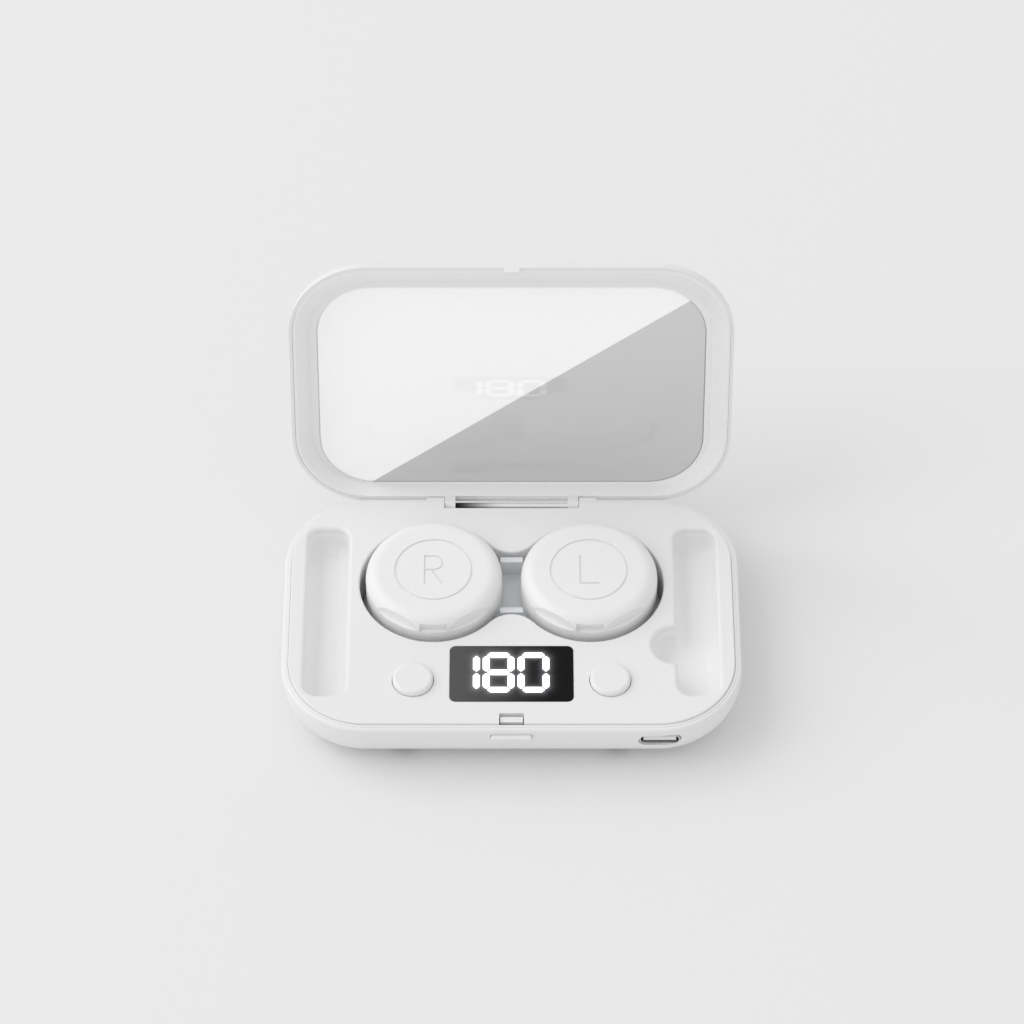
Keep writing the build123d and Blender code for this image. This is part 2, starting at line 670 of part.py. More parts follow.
# ---------------------------------------------------------------------------------------------
# Lid (modelled closed on the deck, then swung open about the pin)
# ---------------------------------------------------------------------------------------------
def swing_open(shape):
    return shape.rotate(Axis((0, PIN_Y, PIN_Z), (1, 0, 0)), -LID_OPEN)


def floor_frame(grow):
    """Width, depth, radius and centre line of the cavity floor."""
    depth = LID_D - FLOOR_BACK - FLOOR_FRONT + 2 * grow
    return FLOOR_W + 2 * grow, depth, FLOOR_R + grow, (FLOOR_FRONT - FLOOR_BACK) / 2


def cavity(grow, top):
    """Sloped-sided space from the rim plane up to a floor."""
    w, d, r, shift = floor_frame(grow)
    mouth = Pos(0, 0, RIM_PLANE - 0.01) * RectangleRounded(
        LID_W - 2 * LIP + 2 * grow, LID_D - 2 * LIP + 2 * grow, LID_R - LIP + grow)
    floor = Pos(0, shift, top) * RectangleRounded(w, d, r)
    return loft([mouth, floor], ruled=True)


def dome(inset, low, rise, hinge_round):
    """Pebble of the lid's back: rounded rectangles that draw in along a quarter ellipse."""
    sections = []
    for step in range(LID_SECTIONS + 1):
        turn = math.pi / 2 * step / LID_SECTIONS
        fall = 1 - math.cos(turn)
        side = inset + LID_ROUND_SIDE * fall
        front = inset + LID_ROUND_FRONT * fall
        hinge = inset + hinge_round * fall
        z = RIM_PLANE + LID_WALL + (rise - LID_WALL) * math.sin(turn)
        outline = RectangleRounded(LID_W - 2 * side, LID_D - front - hinge, LID_R - side)
        sections.append(Pos(0, (front - hinge) / 2, z) * outline)
    return loft(sections) + plate(LID_W - 2 * inset, LID_D - 2 * inset, LID_R - inset, low,
                                  RIM_PLANE + LID_WALL)


def lid_shell():
    """Outer skin with a pebble-rounded back, two hinge ears and the latch hook."""
    outer = dome(0, RIM_PLANE, LID_H, LID_ROUND_HINGE)
    skin = outer - dome(SKIN_RIM, RIM_PLANE - 1, LID_H - SKIN_TOP, LINER_ROUND_HINGE)
    wall_y = LID_D / 2
    for side in (-1, 1):
        a, b = sorted((side * EAR_IN, side * EAR_OUT))
        ear = rod(EAR_R, a, b, PIN_Y, PIN_Z)
        ear += block(a, b, PIN_Y - EAR_R, wall_y, PIN_Z, RIM_PLANE)
        ear += block(a, b, wall_y - SKIN_RIM, wall_y, PIN_Z, RIM_PLANE + 1.0)
        skin += ear
        skin -= rod(PIN_R + EAR_RUN, a - 0.1, b + 0.1, PIN_Y, PIN_Z)
    front = -LID_D / 2
    half = HOOK_W / 2
    low = RIM_PLANE - HOOK_DROP
    hook = block(-half, half, front, front + HOOK_T, low, RIM_PLANE + 1.0)
    hook += block(-half, half, front, front + HOOK_T + HOOK_BARB, low, low + HOOK_BARB_T)
    return skin + hook


def lid_liner():
    """Inner moulding: sloped walls, flat lip round the glass and the pocket behind it."""
    pocket_top = RIM_PLANE + CAVITY_H + MIRROR_T + TAPE_T
    rise = pocket_top + LINER_T - RIM_PLANE
    body = dome(SKIN_RIM + LINER_GAP, RIM_PLANE + LINER_STEP, rise, LINER_ROUND_HINGE)
    body = body - cavity(0, RIM_PLANE + CAVITY_H)
    body -= plate(MIRROR_W + 2 * MIRROR_GAP, MIRROR_D + 2 * MIRROR_GAP, MIRROR_R + MIRROR_GAP,
                  RIM_PLANE + CAVITY_H - 1, pocket_top, 0, mirror_y())
    return body


def mirror_y():
    return LID_D / 2 - MIRROR_BACK - MIRROR_D / 2


def mirror():
    low = RIM_PLANE + CAVITY_H
    glass = plate(MIRROR_W, MIRROR_D, MIRROR_R, low, low + MIRROR_T, 0, mirror_y())
    return chamfer(bottom_edges(glass), MIRROR_EDGE)


def mirror_tape():
    low = RIM_PLANE + CAVITY_H + MIRROR_T
    inset = 2 * TAPE_INSET
    return plate(MIRROR_W - inset, MIRROR_D - inset, MIRROR_R - TAPE_INSET, low, low + TAPE_T,
                 0, mirror_y())


# ---------------------------------------------------------------------------------------------
# Lens case
# ---------------------------------------------------------------------------------------------
def thread_ridge():
    """Single-start ridge for a neck at the origin."""
    path = Helix(pitch=THREAD_PITCH, height=THREAD_PITCH * THREAD_TURNS, radius=NECK_R - 0.1)
    root = THREAD_ROOT / 2
    tip = root * 0.45
    deep = THREAD_DEPTH + 0.1
    start = Plane(origin=path @ 0, x_dir=(1, 0, 0), z_dir=path % 0)
    profile = make_face(Polyline((0, -root), (deep, -tip), (deep, tip), (0, root), close=True))
    return sweep(start * profile, path=path, is_frenet=True)


def lens_case_body():
    """Two round wells with threaded necks and a bridge between them."""
    low = BATH_Z + BODY_LIFT
    solid = Part()
    for side in (-1, 1):
        x = side * HALF_PITCH
        foot = post(BODY_R, low, BODY_Z, x, BAY_Y)
        foot = fillet(bottom_edges(foot), BODY_FOOT_R)
        neck = post(NECK_R, BODY_Z - 1, NECK_TOP, x, BAY_Y)
        solid += foot + neck + Pos(x, BAY_Y, THREAD_START) * thread_ridge()
    reach = HALF_PITCH - NECK_R
    y0 = BAY_Y - BRIDGE_HALF
    y1 = BAY_Y + BRIDGE_HALF
    bridge = block(-reach - 1, reach + 1, y0, y1, BODY_Z - BRIDGE_T, BODY_Z)
    for a, b in ((y0, y0 + BRIDGE_RIM), (y1 - BRIDGE_RIM, y1)):
        bridge += block(-BRIDGE_STRIP, BRIDGE_STRIP, a, b, BODY_Z - BRIDGE_T, BRIDGE_TOP)
    solid += bridge
    for side in (-1, 1):
        bowl = post(WELL_R, WELL_FLOOR, NECK_TOP + 1, side * HALF_PITCH, BAY_Y)
        solid -= fillet(bottom_edges(bowl), BOWL_R)
    return solid


def letter_l():
    stem = Pos(-LETTER_W / 2, 0) * Rectangle(LETTER_T, LETTER_H)
    foot = Pos(0, -(LETTER_H - LETTER_T) / 2) * Rectangle(LETTER_W + LETTER_T, LETTER_T)
    return stem + foot


def letter_r():
    stem = Pos(-LETTER_W / 2, 0) * Rectangle(LETTER_T, LETTER_H)
    bowl_r = LETTER_H / 4 + LETTER_T / 4
    cy = LETTER_H / 2 - bowl_r
    ring = Circle(bowl_r) - Circle(bowl_r - LETTER_T)
    ring = ring & (Pos(bowl_r, 0) * Rectangle(2 * bowl_r, 2 * bowl_r + 1))
    run = LETTER_W / 2 + 0.1
    bowl = Pos(0, cy) * ring
    for edge in (-1, 1):
        bar_y = cy + edge * (bowl_r - LETTER_T / 2)
        bowl += Pos(-run / 2, bar_y) * Rectangle(run, LETTER_T)
    drop = LETTER_H / 2 + cy - bowl_r
    angle = math.degrees(math.atan2(drop, LETTER_W * 0.55))
    leg = Pos(LETTER_W * 0.2, -LETTER_H / 2 + drop / 2) * Rot(0, 0, -angle)
    bowl += leg * Rectangle(math.hypot(drop, LETTER_W * 0.5), LETTER_T)
    return stem + bowl


def screw_cap(side, letter):
    """Cap with a soft shoulder, an engraved ring and letter, two grip notches and four facets."""
    cap = post(CAP_R, CAP_SKIRT_Z, CAP_TOP)
    cap = fillet(top_edges(cap), CAP_SHOULDER_R)
    cap = fillet(bottom_edges(cap), CAP_FOOT_R)
    bore = post(CAP_BORE_R, CAP_SKIRT_Z - 1, CAP_TOP - CAP_ROOF)
    bore = fillet(top_edges(bore), CAP_BORE_TOP_R)
    cap -= bore
    ring = Circle(CAP_RING_R + CAP_RING_W / 2) - Circle(CAP_RING_R - CAP_RING_W / 2)
    cap -= Pos(0, 0, CAP_TOP - CAP_CUT) * extrude(ring, CAP_CUT + 1)
    cap -= Pos(0, 0, CAP_TOP - CAP_CUT) * extrude(letter, CAP_CUT + 1)
    half = CAP_NOTCH_W / 2
    sill = CAP_TOP - CAP_NOTCH_DROP
    notch = block(-half, half, -CAP_R - 1, CAP_NOTCH_DEPTH - CAP_R, sill, sill + CAP_NOTCH_H)
    half = CAP_FACET_W / 2
    facet = block(-half, half, -CAP_R - 1, CAP_FACET_DEPTH - CAP_R, sill, CAP_TOP)
    for face in (0, 180):
        cap -= Rot(0, 0, face) * notch
        for lean in (-CAP_FACET_TURN, CAP_FACET_TURN):
            cap -= Rot(0, 0, face + lean) * facet
    return Pos(side * HALF_PITCH, BAY_Y, 0) * cap


def seal_disc(side):
    """Soft liner in the cap's roof that closes the neck."""
    low = NECK_TOP + SEAL_GAP
    high = CAP_TOP - CAP_ROOF
    x = side * HALF_PITCH
    disc = post(SEAL_R - 2.3, low, high, x, BAY_Y)
    return disc + post(SEAL_R - 0.6, low, low + 0.35, x, BAY_Y)


# ---------------------------------------------------------------------------------------------
# Export
# ---------------------------------------------------------------------------------------------
def all_parts():
    parts = {
        "base_shell": base_shell(),
        "deck_panel": deck_panel(),
        "bath_tub": bath_tub(),
        "tray_left": tray(-1),
        "tray_right": tray(1),
        "vibration_plate": vibration_plate(),
        "piezo_right_eye": piezo(-1),
        "piezo_left_eye": piezo(1),
        "hinge_pin": hinge_pin(),
        "base_pad": base_pad(),
        "display_window": display_window(),
        "display_digits": display_digits(),
        "display_module": display_module(),
        "button_left": button(-1),
        "button_right": button(1),
        "dome_left": dome_pad(-1),
        "dome_right": dome_pad(1),
        "switch_left": switch(-1),
        "switch_right": switch(1),
        "main_board": main_board(),
        "board_chips": board_chips(),
        "battery": battery(),
        "battery_foam": battery_foam(),
        "usb_port": usb_port(),
        "usb_tongue": usb_tongue(),
        "latch_button": latch_button(),
        "latch_spring": latch_spring(),
        "spring_wall": spring_wall(),
        "lid_shell": swing_open(lid_shell()),
        "lid_liner": swing_open(lid_liner()),
        "mirror": swing_open(mirror()),
        "mirror_tape": swing_open(mirror_tape()),
        "lens_case_body": lens_case_body(),
        "cap_r": screw_cap(-1, letter_r()),
        "cap_l": screw_cap(1, letter_l()),
        "seal_r": seal_disc(-1),
        "seal_l": seal_disc(1),
        "base_screws": Compound(children=[base_screw(x, y) for x, y in post_spots()]),
    }
    return parts


os.makedirs("parts", exist_ok=True)
for node, shape in all_parts().items():
    export_step(shape, "parts/%s.step" % node)
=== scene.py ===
import math

import bmesh
import bpy
from bpy.props import FloatProperty, FloatVectorProperty, PointerProperty
from bpy.types import Operator, Panel, PropertyGroup
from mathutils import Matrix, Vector


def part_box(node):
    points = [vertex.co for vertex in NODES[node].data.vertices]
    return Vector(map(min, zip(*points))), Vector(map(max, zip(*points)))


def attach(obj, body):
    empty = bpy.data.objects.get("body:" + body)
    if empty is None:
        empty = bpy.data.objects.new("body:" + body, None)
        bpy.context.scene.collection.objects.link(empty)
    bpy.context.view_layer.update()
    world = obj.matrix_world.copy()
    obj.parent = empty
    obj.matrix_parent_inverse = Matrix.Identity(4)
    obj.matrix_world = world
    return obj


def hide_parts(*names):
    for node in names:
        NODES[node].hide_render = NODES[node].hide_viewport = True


bl_info = {
    "name": "Contact Lens Cleaning Case",
    "version": (1, 0, 0),
    "blender": (4, 5, 0),
    "location": "3D View > Sidebar > Lens Case",
    "description": "Finishes and fine parts of a contact lens cleaning case with a mirror lid",
    "category": "Object",
}

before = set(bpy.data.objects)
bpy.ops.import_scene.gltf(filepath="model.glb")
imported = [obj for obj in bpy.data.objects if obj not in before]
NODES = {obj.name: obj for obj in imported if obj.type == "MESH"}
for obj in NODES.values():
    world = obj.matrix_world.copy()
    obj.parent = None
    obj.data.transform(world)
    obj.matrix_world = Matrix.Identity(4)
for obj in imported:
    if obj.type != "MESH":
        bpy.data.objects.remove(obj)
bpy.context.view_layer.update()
MM = 0.001

# Finishes
CLOUD_MM = 26.0           # size of the flow cloud in moulded plastic
CLOUD_TINT = 0.024        # how much darker the cloud is
SUBSURFACE_MM = 0.8       # how far light travels inside translucent plastic
METAL_LINE_MM = 0.12
METAL_LINE_DEPTH_MM = 0.002
# The mirror's sheen is a painted reflection: white above a slanting edge, grey below it, fixed to the
# glass.
PAINTED_REFLECTION_LEFT_MM = -31.6   # where the mirror's sheen starts, along its hinge side
PAINTED_REFLECTION_RIGHT_MM = 38.2   # and where it ends, near its free side
PAINTED_REFLECTION_RISE = 0.925      # height of that end on the glass

# Display glass and lit bars
GLASS_CORNER_MM = 1.3
GLASS_BEVEL_MM = 0.14
GLASS_COLUMNS = 134       # fine enough to carry the glow between the bars
GLASS_ROWS = 76
GLOW = 0.16               # strength of the glow at a bar's edge
BAR_THICK_MM = 0.03       # bars stand this much on the glass
TIP_SOFT_MM = 0.22        # rounding at a bar's two points
SHOULDER_SOFT_MM = 0.12   # rounding at its four shoulders

# Stage
FLOOR_HALF = 8.0
SKY_STRENGTH = 0.72
KEY_PLACE = (-2.6, 0.35, 2.4)
KEY_SIZE = 3.4
KEY_WATTS = 52.0
SENSOR_WIDTH = 36.0       # millimetres, as the lens length
LENS_LENGTH = 157.7
AIM_X_MM = 0.1            # the point of the deck that the camera looks at
AIM_Y_MM = 27.98


# ---------------------------------------------------------------------------------------------
# Colours and nodes
# ---------------------------------------------------------------------------------------------
def linear(hex_colour):
    """A colour written as sRGB hex, turned to linear with alpha one."""
    text = hex_colour.lstrip("#")
    values = [int(text[i:i + 2], 16) / 255 for i in (0, 2, 4)]
    return [v / 12.92 if v <= 0.04045 else ((v + 0.055) / 1.055) ** 2.4 for v in values] + [1.0]


def add_node(tree, kind, settings=None, inputs=None):
    """Adds a node, sets its properties, and sets or links its inputs."""
    node = tree.nodes.new(kind)
    for key, value in (settings or {}).items():
        setattr(node, key, value)
    for key, value in (inputs or {}).items():
        if isinstance(value, bpy.types.NodeSocket):
            tree.links.new(value, node.inputs[key])
        else:
            node.inputs[key].default_value = value
    return node


def new_material(name):
    """An empty node material with its output."""
    material = bpy.data.materials.new(name)
    material.use_nodes = True
    tree = material.node_tree
    tree.nodes.clear()
    output = add_node(tree, "ShaderNodeOutputMaterial")
    place = add_node(tree, "ShaderNodeTexCoord").outputs["Object"]
    return material, tree, output, place


def noise(tree, place, size_mm, inputs=None):
    """Noise with features of about the given size."""
    return add_node(tree, "ShaderNodeTexNoise", inputs={
        "Vector": place, "Scale": 1 / (size_mm * MM), **(inputs or {})}).outputs["Fac"]


def between(tree, value, low, high):
    """A value from nought to one, spread between two numbers."""
    return add_node(tree, "ShaderNodeMapRange", inputs={
        "Value": value, "To Min": low, "To Max": high}).outputs["Result"]


def blend_colours(tree, factor, first, second):
    return add_node(tree, "ShaderNodeMix", {"data_type": "RGBA"}, {
        "Factor": factor, "A": first, "B": second}).outputs["Result"]


def relief(tree, height, strength, depth_mm):
    """Bump from a height, for a shader's normal."""
    return add_node(tree, "ShaderNodeBump", inputs={
        "Height": height, "Strength": strength, "Distance": depth_mm * MM}).outputs["Normal"]


def surface(tree, output, inputs):
    """The principled shader of a material, joined to its output."""
    shader = add_node(tree, "ShaderNodeBsdfPrincipled", inputs=inputs)
    tree.links.new(shader.outputs[0], output.inputs["Surface"])


def moulded_plastic(name, colour, roughness, grain_mm=0.18, depth_mm=0.004, ior=1.5, subsurface=0.0):
    """Moulded plastic: spark-eroded grain in the tool, and a faint flow cloud from the melt."""
    material, tree, output, place = new_material(name)
    grain = noise(tree, place, grain_mm, {"Detail": 2.0, "Roughness": 0.55})
    cloud = noise(tree, place, CLOUD_MM, {"Detail": 1.0})
    base = list(colour)
    shade = [c * (1 - CLOUD_TINT) for c in base[:3]] + [1.0]
    surface(tree, output, {
        "Base Color": blend_colours(tree, cloud, shade, base), "IOR": ior,
        "Roughness": between(tree, grain, roughness - 0.04, roughness + 0.05),
        "Normal": relief(tree, grain, 0.35, depth_mm), "Subsurface Weight": subsurface,
        "Subsurface Radius": (1.0, 1.0, 1.0), "Subsurface Scale": SUBSURFACE_MM * MM})
    return material


def worked_metal(name, colour, roughness, stretch=(1, 1, 1)):
    """Metal with fine working lines drawn out along one direction."""
    material, tree, output, place = new_material(name)
    drawn = add_node(tree, "ShaderNodeMapping", inputs={"Vector": place, "Scale": stretch})
    lines = noise(tree, drawn.outputs["Vector"], METAL_LINE_MM, {"Detail": 3.0})
    surface(tree, output, {
        "Base Color": linear(colour), "Metallic": 1.0,
        "Roughness": between(tree, lines, roughness * 0.7, roughness * 1.3),
        "Normal": relief(tree, lines, 0.3, METAL_LINE_DEPTH_MM)})
    return material


# ---------------------------------------------------------------------------------------------
# Settings
# ---------------------------------------------------------------------------------------------
class LensCaseColours(PropertyGroup):
    """Colours a user would change."""
    shell: FloatVectorProperty(
        name="Shell", description="Colour of the moulded shell, deck and lid", subtype="COLOR",
        size=4, min=0, max=1, default=linear("#F1F1F2"))
    caps: FloatVectorProperty(
        name="Caps", description="Colour of the two screw caps", subtype="COLOR",
        size=4, min=0, max=1, default=linear("#F3F3F3"))
    digits: FloatVectorProperty(
        name="Digits", description="Light of the lit bars", subtype="COLOR",
        size=4, min=0, max=1, default=linear("#FFFFFF"))
    floor: FloatVectorProperty(
        name="Floor", description="Colour of the studio floor", subtype="COLOR",
        size=4, min=0, max=1, default=linear("#F0F0F0"))


class LensCaseDisplay(PropertyGroup):
    """Sizes of the display's figures."""
    bar_width: FloatProperty(
        name="Bar Width", description="Width of one lit bar", unit="LENGTH", default=1.5 * MM, min=0)
    bar_gap: FloatProperty(
        name="Bar Gap", description="Gap between the tips of two bars", unit="LENGTH",
        default=0.34 * MM, min=0)
    digit_width: FloatProperty(
        name="Digit Width", description="Width over one figure", unit="LENGTH",
        default=6.9 * MM, min=0)
    digit_pitch: FloatProperty(
        name="Digit Pitch", description="From one figure to the next", unit="LENGTH",
        default=7.55 * MM, min=0)
    lift: FloatProperty(
        name="Lift", description="Figures stand this far behind the middle of the glass",
        unit="LENGTH", default=0.25 * MM)
    glow_reach: FloatProperty(
        name="Glow Reach", description="Distance over which the glow round a bar fades",
        unit="LENGTH", default=0.5 * MM, min=0)


class LensCaseStage(PropertyGroup):
    """Camera of the stage."""
    distance: FloatProperty(
        name="Camera Distance", description="From the camera to the back of the deck", unit="LENGTH",
        default=1.0, min=0.3)
    elevation: FloatProperty(
        name="Camera Elevation", description="Height angle of the camera above the floor",
        subtype="ANGLE", default=math.radians(50.163), min=0, max=math.pi / 2)


# ---------------------------------------------------------------------------------------------
# Pieces
# ---------------------------------------------------------------------------------------------
def finish_piece(name, bm, material, body, nodes, sharp=35.0):
    """Turns a bmesh into a piece that rides a body in place of the CAD nodes it replaces."""
    mesh = bpy.data.meshes.new(name)
    bmesh.ops.recalc_face_normals(bm, faces=bm.faces)
    bm.to_mesh(mesh)
    bm.free()
    mesh.polygons.foreach_set("use_smooth", [True] * len(mesh.polygons))
    mesh.set_sharp_from_angle(angle=math.radians(sharp))
    mesh.materials.append(material)
    piece = bpy.data.objects.new(name, mesh)
    bpy.context.scene.collection.objects.link(piece)
    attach(piece, body)
    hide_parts(*nodes)
    return piece


def bar_places(display):
    """Centre, length and direction of each lit bar of one, eight and nought."""
    low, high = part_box("display_digits")
    middle = (low.y + high.y) / 2 + display.lift
    dx = (display.digit_width - display.bar_width) / 2
    dy = (0.97 * (high.y - low.y) - display.bar_width) / 2
    across, up = 2 * dx - display.bar_gap, dy - display.bar_gap
    ways = {"n": (0, dy, across, 0), "m": (0, 0, across, 0), "s": (0, -dy, across, 0),
            "nw": (-dx, dy / 2, up, 1), "ne": (dx, dy / 2, up, 1),
            "sw": (-dx, -dy / 2, up, 1), "se": (dx, -dy / 2, up, 1)}
    nought_x = high.x - display.digit_width / 2
    one_x = low.x + display.bar_width / 2 - dx
    eight_x = nought_x - display.digit_pitch
    figures = ((one_x, ("ne", "se")), (eight_x, ("n", "ne", "se", "s", "sw", "nw", "m")),
               (nought_x, ("n", "ne", "se", "s", "sw", "nw")))
    return [(x + ways[w][0], middle + ways[w][1], ways[w][2], ways[w][3])
            for x, lit in figures for w in lit]


def distance_to_bar(x, y, bar, width):
    """Distance from a point to the edge of a bar with pointed ends."""
    cx, cy, length, upright = bar
    along, aside = (y - cy, x - cx) if upright else (x - cx, y - cy)
    reach = max(0.0, length / 2 - width / 2)
    past = max(0.0, abs(along) - reach)
    return max(0.0, math.hypot(past, aside) - width / 2)


def bar_outline(run, tip):
    """Outline of a lying bar: a hexagon with pointed ends and softened corners."""
    corners = ((-run, 0), (-run + tip, tip), (run - tip, tip), (run, 0), (run - tip, -tip),
               (-run + tip, -tip))
    outline = [Vector(corner) for corner in corners]
    rounded = []
    for k, corner in enumerate(outline):
        soft = (SHOULDER_SOFT_MM if corner.y else TIP_SOFT_MM) * MM
        a = corner + (outline[k - 1] - corner).normalized() * soft
        b = corner + (outline[(k + 1) % 6] - corner).normalized() * soft
        for t in (0.0, 0.33, 0.67, 1.0):
            rounded.append(a * (1 - t) ** 2 + corner * 2 * t * (1 - t) + b * t ** 2)
    return rounded


def acrylic_with_painted_reflection():
    """Smoked acrylic with a low-glare coat: near black, a painted reflection making it grey to the
    left, glow round the lit bars.
    """
    material, tree, output, place = new_material("polished smoked acrylic with painted reflection")
    side = add_node(tree, "ShaderNodeSeparateXYZ", inputs={"Vector": place}).outputs["X"]
    # painted reflection: base colour grey at the left, near black to the right
    painted_reflection_grey = add_node(tree, "ShaderNodeMapRange", {"interpolation_type": "SMOOTHSTEP"}, {
        "Value": side, "From Min": -13.5 * MM, "From Max": 9 * MM, "To Min": 0.095, "To Max": 0.003})
    haze = noise(tree, place, 3)
    glow = add_node(tree, "ShaderNodeAttribute", {"attribute_name": "glow"}).outputs["Fac"]
    surface(tree, output, {
        "Base Color": painted_reflection_grey.outputs["Result"], "Roughness": between(tree, haze, 0.05, 0.11),
        "IOR": 1.49, "Specular IOR Level": 0.16, "Emission Color": linear("#F2F6FF"),
        "Emission Strength": glow})
    return material


def lit_bar(colour):
    """Diffusing light guide with a white lamp behind it and a faint grain in its light."""
    material, tree, output, place = new_material("lit diffusing polycarbonate")
    grain = noise(tree, place, 0.4)
    surface(tree, output, {
        "Base Color": linear("#E8E8E8"), "Roughness": 0.5, "Emission Color": colour,
        "Emission Strength": between(tree, grain, 1.25, 1.5)})
    return material


class LENSCASE_OT_display(Operator):
    """Makes the display glass and the lit bars of its three figures"""
    bl_idname = "lenscase.display"
    bl_label = "Display"

    def execute(self, context):
        display = context.scene.lens_case_display
        low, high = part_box("display_window")
        half = Vector(((high.x - low.x) / 2, (high.y - low.y) / 2))
        middle = Vector(((high.x + low.x) / 2, (high.y + low.y) / 2))
        bevel = GLASS_BEVEL_MM * MM
        bars = bar_places(display)

        def on_outline(u, v, inset):
            """Point of the rounded rectangle for square co-ordinates from minus one to one."""
            point = []
            radius = GLASS_CORNER_MM * MM
            for value, size in ((u, half.x), (v, half.y)):
                reach = size - radius
                run = abs(value) * size
                point.append((min(run, reach), max(0.0, run - reach) / radius, math.copysign(1, value)))
            (fx, a, sx), (fy, b, sy) = point
            bend_a = a * math.sqrt(1 - b * b / 2)
            bend_b = b * math.sqrt(1 - a * a / 2)
            radius -= inset
            x = fx + bend_a * radius if a > 0 else fx
            y = fy + bend_b * radius if b > 0 else fy
            return middle.x + sx * x, middle.y + sy * y

        columns, rows = GLASS_COLUMNS, GLASS_ROWS
        bm = bmesh.new()
        layer = bm.verts.layers.float.new("glow")
        grid = []
        for j in range(rows + 1):
            line = []
            for i in range(columns + 1):
                x, y = on_outline(2 * i / columns - 1, 2 * j / rows - 1, bevel)
                vert = bm.verts.new((x, y, high.z))
                gap = min(distance_to_bar(x, y, bar, display.bar_width) for bar in bars)
                vert[layer] = GLOW * math.exp(-gap / display.glow_reach)
                line.append(vert)
            grid.append(line)
        for j in range(rows):
            for i in range(columns):
                bm.faces.new((grid[j][i], grid[j][i + 1], grid[j + 1][i + 1], grid[j + 1][i]))
        ring = ([(i, 0) for i in range(columns)] + [(columns, j) for j in range(rows)]
                + [(i, rows) for i in range(columns, 0, -1)] + [(0, j) for j in range(rows, 0, -1)])
        last = [grid[j][i] for i, j in ring]
        for inset, z in ((bevel * 0.3, high.z - bevel * 0.3), (0.0, high.z - bevel), (0.0, low.z)):
            loop = []
            for i, j in ring:
                x, y = on_outline(2 * i / columns - 1, 2 * j / rows - 1, inset)
                loop.append(bm.verts.new((x, y, z)))
            for k in range(len(ring)):
                n = (k + 1) % len(ring)
                bm.faces.new((last[k], last[n], loop[n], loop[k]))
            last = loop
        bm.faces.new(last)
        finish_piece("display_glass", bm, acrylic_with_painted_reflection(), "base", ["display_window"],
                     sharp=50)

        bm = bmesh.new()
        for cx, cy, length, upright in bars:
            rounded = bar_outline(length / 2, display.bar_width / 2)
            loops = []
            for z in (high.z, high.z + BAR_THICK_MM * MM):
                loops.append([bm.verts.new((cx + (-p.y if upright else p.x),
                                            cy + (p.x if upright else p.y), z)) for p in rounded])
            for k in range(len(rounded)):
                n = (k + 1) % len(rounded)
                bm.faces.new((loops[0][k], loops[0][n], loops[1][n], loops[1][k]))
            bm.faces.new(loops[1])
            bm.faces.new(loops[0])
        finish_piece("lit_bars", bm, lit_bar(context.scene.lens_case_colours.digits), "base",
                     ["display_digits"])
        return {"FINISHED"}


# ---------------------------------------------------------------------------------------------
# Finishes of the carried-over parts
# ---------------------------------------------------------------------------------------------
def glass_with_painted_reflection():
    """Silvered float glass with a painted reflection: white above a slanting edge, grey below it, the
    grey darker towards the bottom.

    The painted reflection is fixed to the glass; the mirror coat over it gives a faint image of what
    stands near.
    """
    material, tree, output, place = new_material("silvered float glass with painted reflection")
    low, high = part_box("mirror")
    split = add_node(tree, "ShaderNodeSeparateXYZ", inputs={"Vector": place})
    start = Vector((PAINTED_REFLECTION_LEFT_MM * MM, low.z))
    end = Vector((PAINTED_REFLECTION_RIGHT_MM * MM, low.z + PAINTED_REFLECTION_RISE * (high.z - low.z)))
    slope = (end.y - start.y) / (end.x - start.x)
    rise = add_node(tree, "ShaderNodeMath", {"operation": "MULTIPLY_ADD"}, {
        0: split.outputs["X"], 1: slope, 2: start.y - slope * start.x}).outputs[0]
    above = add_node(tree, "ShaderNodeMath", {"operation": "SUBTRACT"}, {
        0: split.outputs["Z"], 1: rise}).outputs[0]
    # mask of the painted reflection: white above the slanting edge, grey below it
    side = add_node(tree, "ShaderNodeMapRange", inputs={
        "Value": above, "From Min": -0.08 * MM, "From Max": 0.08 * MM}).outputs["Result"]
    fade = add_node(tree, "ShaderNodeMapRange", inputs={
        "Value": split.outputs["Z"], "From Min": low.z, "From Max": high.z}).outputs["Result"]
    # painted shade: the grey below the edge darkens towards the bottom of the glass
    grey = blend_colours(tree, fade, linear("#C4C4C5"), linear("#D2D2D3"))
    painted_light_tone = blend_colours(tree, side, grey, linear("#FDFDFD"))
    wave = noise(tree, place, 40)
    # painted light: the glass glows faintly in its own painted tones, though it is no lamp
    surface(tree, output, {
        "Base Color": painted_light_tone, "Roughness": between(tree, wave, 0.01, 0.03), "IOR": 1.52,
        "Normal": relief(tree, wave, 0.05, 0.02), "Emission Color": painted_light_tone,
        "Emission Strength": 0.12})
    return material


def pin_with_painted_shade():
    """Ground steel pin with painted shade and reflection: base colour near black at the left, shaded by
    the lid's ear, and near white to the right.
    """
    material, tree, output, place = new_material("centreless ground steel with painted shade")
    side = add_node(tree, "ShaderNodeSeparateXYZ", inputs={"Vector": place}).outputs["X"]
    # painted shade to the left and painted reflection to the right, in the base colour
    along = add_node(tree, "ShaderNodeMapRange", {"interpolation_type": "SMOOTHSTEP"}, {
        "Value": side, "From Min": -12.5 * MM, "From Max": -1.5 * MM})
    painted_light_tone = blend_colours(tree, along.outputs["Result"], linear("#1C1C1D"), linear("#FAFAFA"))
    rings = noise(tree, place, 0.1)
    surface(tree, output, {
        "Base Color": painted_light_tone, "Metallic": 0.85, "Roughness": between(tree, rings, 0.3, 0.42)})
    return material


